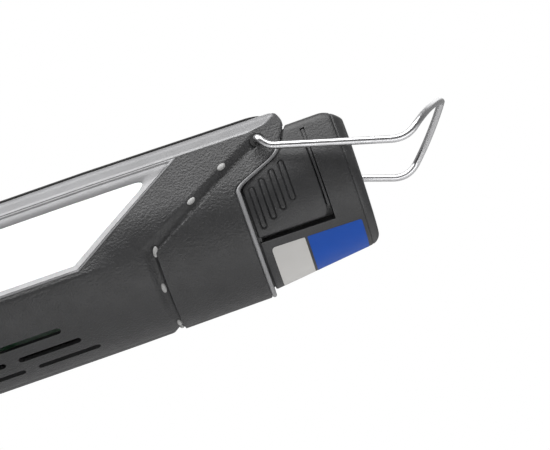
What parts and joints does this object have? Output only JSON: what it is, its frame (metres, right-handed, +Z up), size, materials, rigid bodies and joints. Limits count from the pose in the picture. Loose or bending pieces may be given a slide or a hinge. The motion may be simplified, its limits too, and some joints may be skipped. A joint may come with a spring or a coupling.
{
  "type": "work light",
  "caption": "Cordless hand-held work light with a long area light in each side, a spot light in the head, a swinging wire hanger and a slide-in battery pack.",
  "frame": {"origin": "middle of the bounding box, on the flat that the light rests on", "axes": "+X to the battery end, +Y to the right side, +Z up"},
  "size_m": [0.2488, 0.0584, 0.0552],
  "materials": {
    "housing": "fine grained dark charcoal",
    "trim": "light grey, fine satin grain",
    "pad_black": "soft black",
    "collar": "mid grey satin",
    "bumper": "matt black",
    "bezel": "silver paint, satin",
    "diffuser": "milky white",
    "led_board": "white solder mask",
    "led": "yellow phosphor",
    "heat_sink": "extruded",
    "board": "green solder mask",
    "dark_plastic": "moulded",
    "harness": "red insulation",
    "lens": "clear",
    "seal": "matt black",
    "reflector": "vacuum metallised",
    "button": "satin grey",
    "contact": "tinned",
    "bush": "acetal",
    "groove_pad": "light grey",
    "screw": "blackened steel",
    "wire": "bright steel",
    "pack": "black, fine grained",
    "pack_end": "black satin",
    "cell": "shrink sleeve",
    "tab": "nickel strip",
    "label_grey": "printed foil, warm grey",
    "label_blue": "printed foil, blue",
    "release": "black, fine grained",
    "pin": "ground",
    "spring": "spring steel"
  },
  "bodies": {
    "light": {"right_shell": "housing", "left_shell": "housing", "top_trim": "trim", "top_pad": "pad_black", "rear_collar": "collar", "front_bumper": "bumper", "window_bezel_right": "bezel", "window_bezel_left": "bezel", "diffuser_right": "diffuser", "diffuser_left": "diffuser", "led_board_right": "led_board", "led_board_left": "led_board", "area_leds_right": "led", "area_leds_left": "led", "heat_sink": "heat_sink", "driver_board": "board", "driver_parts": "dark_plastic", "wire_harness": "harness", "head_bezel": "bezel", "spot_lens": "lens", "lens_seal": "seal", "spot_reflector": "reflector", "spot_board": "led_board", "spot_led": "led", "switch_board": "board", "tact_switch": "dark_plastic", "pack_receiver": "dark_plastic", "receiver_contacts": "contact", "pivot_bushes": "bush", "groove_pads": "groove_pad", "housing_screws": "screw"},
    "hanger": {"hanger_wire": "wire"},
    "button": {"power_button": "button"},
    "release_right": {"release_button_right": "release"},
    "release_left": {"release_button_left": "release"},
    "pack": {"pack_case": "pack", "pack_cap": "pack_end", "cells": "cell", "cell_tabs": "tab", "pack_board": "board", "pack_terminals": "contact", "label_grey": "label_grey", "label_blue": "label_blue", "release_pin_right": "pin", "release_pin_left": "pin", "release_spring_right": "spring", "release_spring_left": "spring"}
  },
  "joints": [
    {"name": "hanger_swing", "type": "hinge", "parent": "light", "child": "hanger", "pos_m": [0.06498, 0, 0.0439], "axis": [0, 1, 0], "range_deg": [-90, 122]},
    {"name": "pack_slide", "type": "slide", "parent": "light", "child": "pack", "axis": [1, 0, 0], "range_m": [0, 0.0235]},
    {"name": "release_press_right", "type": "hinge", "parent": "pack", "child": "release_right", "pos_m": [0.07608, 0.0161, 0.042], "axis": [-1, 0, 0], "range_deg": [0, 3], "stiffness_Nm_per_rad": 0.3, "deforming": ["release_spring_right"]},
    {"name": "release_press_left", "type": "hinge", "parent": "pack", "child": "release_left", "pos_m": [0.07608, -0.0161, 0.042], "axis": [1, 0, 0], "range_deg": [0, 3], "stiffness_Nm_per_rad": 0.3, "deforming": ["release_spring_left"]},
    {"name": "power_press", "type": "slide", "parent": "light", "child": "button", "axis": [0, 0, -1], "range_m": [0, 0.0012], "stiffness_N_per_m": 800}
  ]
}
